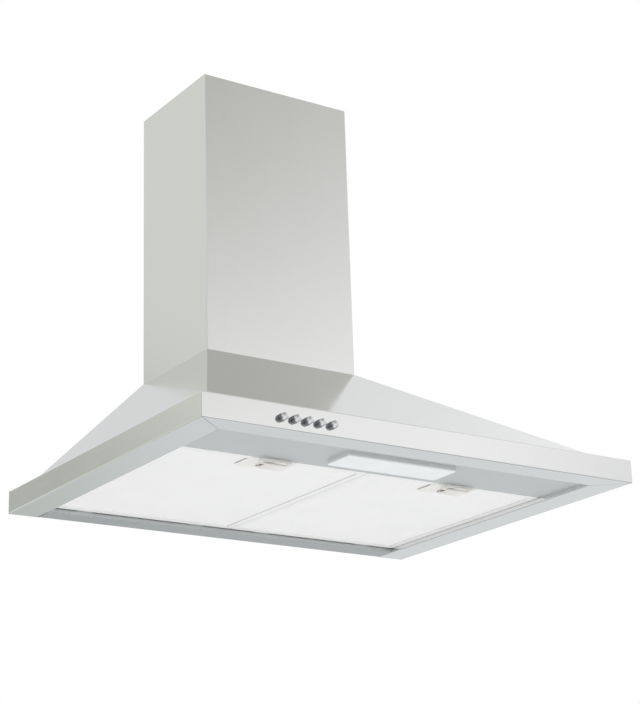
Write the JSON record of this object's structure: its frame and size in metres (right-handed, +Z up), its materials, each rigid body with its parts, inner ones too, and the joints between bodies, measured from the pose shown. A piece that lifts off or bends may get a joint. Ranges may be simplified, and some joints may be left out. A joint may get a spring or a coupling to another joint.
{
  "type": "range hood",
  "caption": "Wall chimney range hood: sloping steel canopy with mesh filters, lamp and push buttons below, blower inside and a telescopic chimney cover above.",
  "frame": {"origin": "centre of the wall plane at the underside of the rim, midway between the sides", "axes": "+X to the right of someone facing the hood, +Y into the wall, +Z up"},
  "size_m": [0.6, 0.483, 0.578],
  "materials": {
    "stainless_brushed": "brushed stainless sheet with a fine straight grain",
    "galvanised": "dull zinc-coated sheet",
    "lamp_panel_sheet": "satin grey painted sheet",
    "filter_aluminium": "pale anodised aluminium",
    "latch_plate_plastic": "satin moulded plastic",
    "chrome": "polished chrome plate",
    "lens_plastic": "opal moulded plastic",
    "grey_plastic": "moulded grey plastic",
    "black_plastic": "moulded black plastic",
    "white_plastic": "moulded white plastic",
    "lamp_glass": "clear lamp glass",
    "zinc_screw": "zinc-plated screw steel",
    "motor_steel": "dark coated motor can",
    "shaft_steel": "ground steel",
    "rubber": "moulded black rubber"
  },
  "bodies": {
    "hood": {"back_panel": "galvanised", "back_panel_screws": "zinc_screw", "blower_housing_left": "black_plastic", "blower_housing_right": "black_plastic", "cable_grommet": "rubber", "canopy_front": "stainless_brushed", "canopy_left": "stainless_brushed", "canopy_right": "stainless_brushed", "capacitor": "white_plastic", "capacitor_clip": "galvanised", "capacitor_tabs": "zinc_screw", "deck": "galvanised", "deck_screws": "zinc_screw", "duct_spigot": "black_plastic", "flap_pin": "zinc_screw", "housing_screws": "zinc_screw", "lamp_bezel": "grey_plastic", "lamp_bulb": "lamp_glass", "lamp_holder": "white_plastic", "lamp_lens": "lens_plastic", "lamp_panel": "lamp_panel_sheet", "lamp_tray": "galvanised", "lower_chimney_cover": "stainless_brushed", "motor": "motor_steel", "motor_bracket": "galvanised", "motor_bushes": "rubber", "motor_screws": "zinc_screw", "rim_front": "stainless_brushed", "rim_left": "stainless_brushed", "rim_right": "stainless_brushed", "switch_body": "black_plastic", "switch_bracket": "galvanised", "switch_screws": "zinc_screw", "wiring_box": "white_plastic", "wiring_box_lid": "white_plastic"},
    "upper_cover": {"upper_chimney_cover": "stainless_brushed", "ceiling_bracket": "galvanised", "bracket_screws": "zinc_screw"},
    "filter_left": {"filter_frame_left": "filter_aluminium", "filter_mesh_left": "filter_aluminium", "filter_core_left": "filter_aluminium", "latch_plate_left": "latch_plate_plastic", "latch_spring_left": "zinc_screw"},
    "filter_right": {"filter_frame_right": "filter_aluminium", "filter_mesh_right": "filter_aluminium", "filter_core_right": "filter_aluminium", "latch_plate_right": "latch_plate_plastic", "latch_spring_right": "zinc_screw"},
    "latch_left": {"latch_left": "chrome"},
    "latch_right": {"latch_right": "chrome"},
    "impeller": {"impeller": "black_plastic", "motor_shaft": "shaft_steel"},
    "flap_front": {"flap_front": "black_plastic"},
    "flap_rear": {"flap_rear": "black_plastic"},
    "button_off": {"button_off": "chrome"},
    "button_speed_1": {"button_speed_1": "chrome"},
    "button_speed_2": {"button_speed_2": "chrome"},
    "button_speed_3": {"button_speed_3": "chrome"},
    "button_light": {"button_light": "chrome"}
  },
  "joints": [
    {"name": "upper_cover_lift", "type": "slide", "parent": "hood", "child": "upper_cover", "axis": [0, 0, 1], "range_m": [0, 0.28]},
    {"name": "filter_left_swing", "type": "hinge", "parent": "hood", "child": "filter_left", "pos_m": [-0.13, -0.03, 0.0063], "axis": [1, 0, 0], "range_deg": [0, 70]},
    {"name": "latch_left_pull", "type": "slide", "parent": "filter_left", "child": "latch_left", "axis": [0, 1, 0], "range_m": [0, 0.006], "stiffness_N_per_m": 300, "deforming": ["latch_spring_left"]},
    {"name": "filter_right_swing", "type": "hinge", "parent": "hood", "child": "filter_right", "pos_m": [0.13, -0.03, 0.0063], "axis": [1, 0, 0], "range_deg": [0, 70]},
    {"name": "latch_right_pull", "type": "slide", "parent": "filter_right", "child": "latch_right", "axis": [0, 1, 0], "range_m": [0, 0.006], "stiffness_N_per_m": 300, "deforming": ["latch_spring_right"]},
    {"name": "button_off_press", "type": "slide", "parent": "hood", "child": "button_off", "axis": [0, 1, 0], "range_m": [0, 0.0035], "stiffness_N_per_m": 400},
    {"name": "button_speed_1_press", "type": "slide", "parent": "hood", "child": "button_speed_1", "axis": [0, 1, 0], "range_m": [0, 0.0035], "stiffness_N_per_m": 400},
    {"name": "button_speed_2_press", "type": "slide", "parent": "hood", "child": "button_speed_2", "axis": [0, 1, 0], "range_m": [0, 0.0035], "stiffness_N_per_m": 400},
    {"name": "button_speed_3_press", "type": "slide", "parent": "hood", "child": "button_speed_3", "axis": [0, 1, 0], "range_m": [0, 0.0035], "stiffness_N_per_m": 400},
    {"name": "button_light_press", "type": "slide", "parent": "hood", "child": "button_light", "axis": [0, 1, 0], "range_m": [0, 0.0035], "stiffness_N_per_m": 400},
    {"name": "impeller_spin", "type": "hinge", "parent": "hood", "child": "impeller", "pos_m": [0, -0.1285, 0.11223], "axis": [1, 0, 0], "continuous": true},
    {"name": "flap_front_swing", "type": "hinge", "parent": "hood", "child": "flap_front", "pos_m": [0, -0.084, 0.208], "axis": [-1, 0, 0], "range_deg": [0, 75]},
    {"name": "flap_rear_swing", "type": "hinge", "parent": "hood", "child": "flap_rear", "pos_m": [0, -0.084, 0.208], "axis": [1, 0, 0], "range_deg": [0, 75]}
  ]
}
